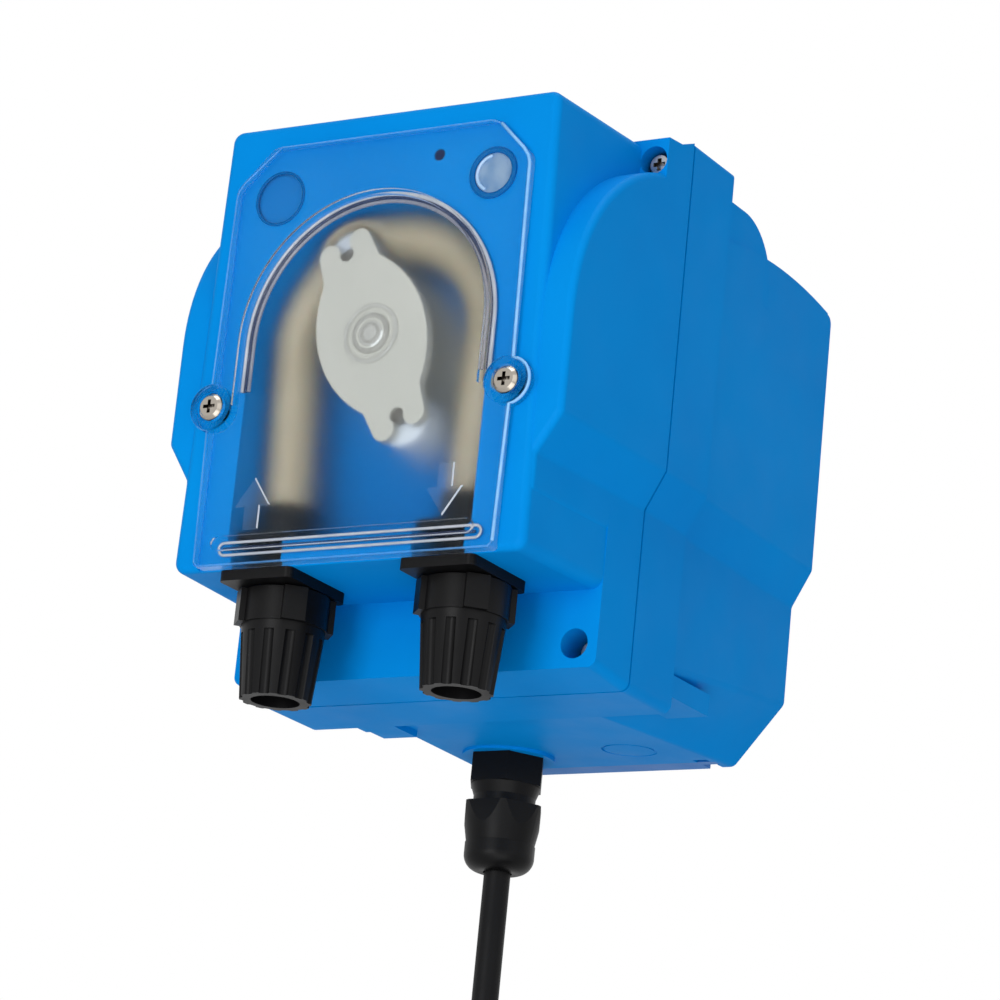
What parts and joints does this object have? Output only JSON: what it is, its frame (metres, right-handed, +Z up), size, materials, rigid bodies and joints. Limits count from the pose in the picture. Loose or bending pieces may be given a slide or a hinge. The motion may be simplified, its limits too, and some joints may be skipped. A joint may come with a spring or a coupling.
{
  "type": "peristaltic dosing pump",
  "caption": "Wall-mounted dosing pump with a clear-fronted roller head, threaded tube ports below, a cable gland with cord, and a geared motor in a two-part housing.",
  "frame": {"origin": "middle of the wall bracket's four screw holes, on its back face", "axes": "+X to the right seen from the front, +Y into the wall, +Z up; the pump head faces -Y"},
  "size_m": [0.1091, 0.1209, 0.2972],
  "materials": {
    "housing_plastic": "satin moulded polypropylene",
    "bracket_plastic": "moulded",
    "gasket_rubber": "smooth",
    "steel": "plated",
    "chrome_steel": "polished",
    "clear_plastic": "clear, slightly hazy",
    "lens_plastic": "translucent",
    "led_plastic": "clear lamp",
    "board_green": "lacquered board",
    "rotor_plastic": "moulded",
    "roller_plastic": "moulded",
    "tube_rubber": "soft, smooth",
    "fitting_plastic": "glass-filled nylon",
    "bronze": "machined",
    "gear_plastic": "moulded acetal",
    "zinc_plate": "zinc plated",
    "black_plastic": "moulded",
    "terminal_plastic": "moulded",
    "core_steel": "lacquered laminations",
    "cord_sheath": "satin sheath",
    "core_insulation": "smooth"
  },
  "bodies": {
    "bracket": {"wall_bracket": "bracket_plastic"},
    "rotor": {"rotor_front_plate": "rotor_plastic", "rotor_carrier": "rotor_plastic", "rotor_screw": "chrome_steel", "roller_pins": "steel", "output_shaft": "steel", "output_wheel": "gear_plastic"},
    "upper_roller": {"roller_upper": "roller_plastic"},
    "lower_roller": {"roller_lower": "roller_plastic"},
    "idler": {"idler_gear": "gear_plastic"},
    "motor_rotor": {"motor_shaft": "steel", "motor_pinion": "bronze"},
    "suction_nut": {"suction_nut": "fitting_plastic"},
    "discharge_nut": {"discharge_nut": "fitting_plastic"},
    "gland_nut": {"gland_dome_nut": "fitting_plastic"},
    "housing": {"rear_shell": "housing_plastic", "front_shell": "housing_plastic", "housing_gasket": "gasket_rubber", "housing_screws": "steel", "head_cover": "clear_plastic", "cover_screws": "chrome_steel", "indicator_lens": "lens_plastic", "status_led": "led_plastic", "indicator_board": "board_green", "pump_tube": "tube_rubber", "suction_port": "fitting_plastic", "discharge_port": "fitting_plastic", "shaft_seal": "gasket_rubber", "output_bushes": "bronze", "idler_arbor": "steel", "gearbox_front_plate": "zinc_plate", "gearbox_rear_plate": "zinc_plate", "gearbox_pillars": "zinc_plate", "gearbox_screws": "steel", "motor_can": "zinc_plate", "motor_cap": "black_plastic", "motor_screws": "steel", "control_board": "board_green", "board_screws": "steel", "terminal_block": "terminal_plastic", "terminal_screws": "steel", "transformer": "core_steel", "trimmer": "terminal_plastic", "capacitor": "black_plastic", "gland_body": "fitting_plastic", "gland_lock_nut": "fitting_plastic", "gland_seal": "gasket_rubber", "cord_lead": "cord_sheath", "cord_coil": "cord_sheath", "cord_tail": "cord_sheath", "cord_tie": "black_plastic", "tail_wires": "core_insulation", "supply_wires": "core_insulation"}
  },
  "joints": [
    {"name": "housing_lift", "type": "slide", "parent": "bracket", "child": "housing", "axis": [0, 0, 1], "range_m": [0, 0.1]},
    {"name": "rotor_spin", "type": "hinge", "parent": "housing", "child": "rotor", "pos_m": [0, -0.0878, 0.008], "axis": [0, 1, 0], "continuous": true, "deforming": ["pump_tube"]},
    {"name": "upper_roller_spin", "type": "hinge", "parent": "rotor", "child": "upper_roller", "pos_m": [-0.00843, -0.0878, 0.02658], "axis": [0, 1, 0], "continuous": true},
    {"name": "lower_roller_spin", "type": "hinge", "parent": "rotor", "child": "lower_roller", "pos_m": [0.00843, -0.0878, -0.01058], "axis": [0, 1, 0], "continuous": true},
    {"name": "idler_spin", "type": "hinge", "parent": "housing", "child": "idler", "pos_m": [0.02078, -0.0878, -0.004], "axis": [0, 1, 0], "continuous": true},
    {"name": "motor_spin", "type": "hinge", "parent": "housing", "child": "motor_rotor", "pos_m": [0, -0.0878, -0.016], "axis": [0, 1, 0], "continuous": true},
    {"name": "suction_nut_turn", "type": "hinge", "parent": "housing", "child": "suction_nut", "pos_m": [-0.0222, -0.1044, -0.052], "axis": [0, 0, 1], "range_deg": [-360, 0]},
    {"name": "discharge_nut_turn", "type": "hinge", "parent": "housing", "child": "discharge_nut", "pos_m": [0.0222, -0.1044, -0.052], "axis": [0, 0, 1], "range_deg": [-360, 0]},
    {"name": "gland_nut_turn", "type": "hinge", "parent": "housing", "child": "gland_nut", "pos_m": [-0.0155, -0.0205, -0.072], "axis": [0, 0, 1], "range_deg": [-360, 0]}
  ],
  "couplings": [
    {"joint": "upper_roller_spin", "follows": "rotor_spin", "ratio": -4.4},
    {"joint": "lower_roller_spin", "follows": "rotor_spin", "ratio": -4.4},
    {"joint": "idler_spin", "follows": "rotor_spin", "ratio": -4},
    {"joint": "motor_spin", "follows": "rotor_spin", "ratio": 16}
  ]
}
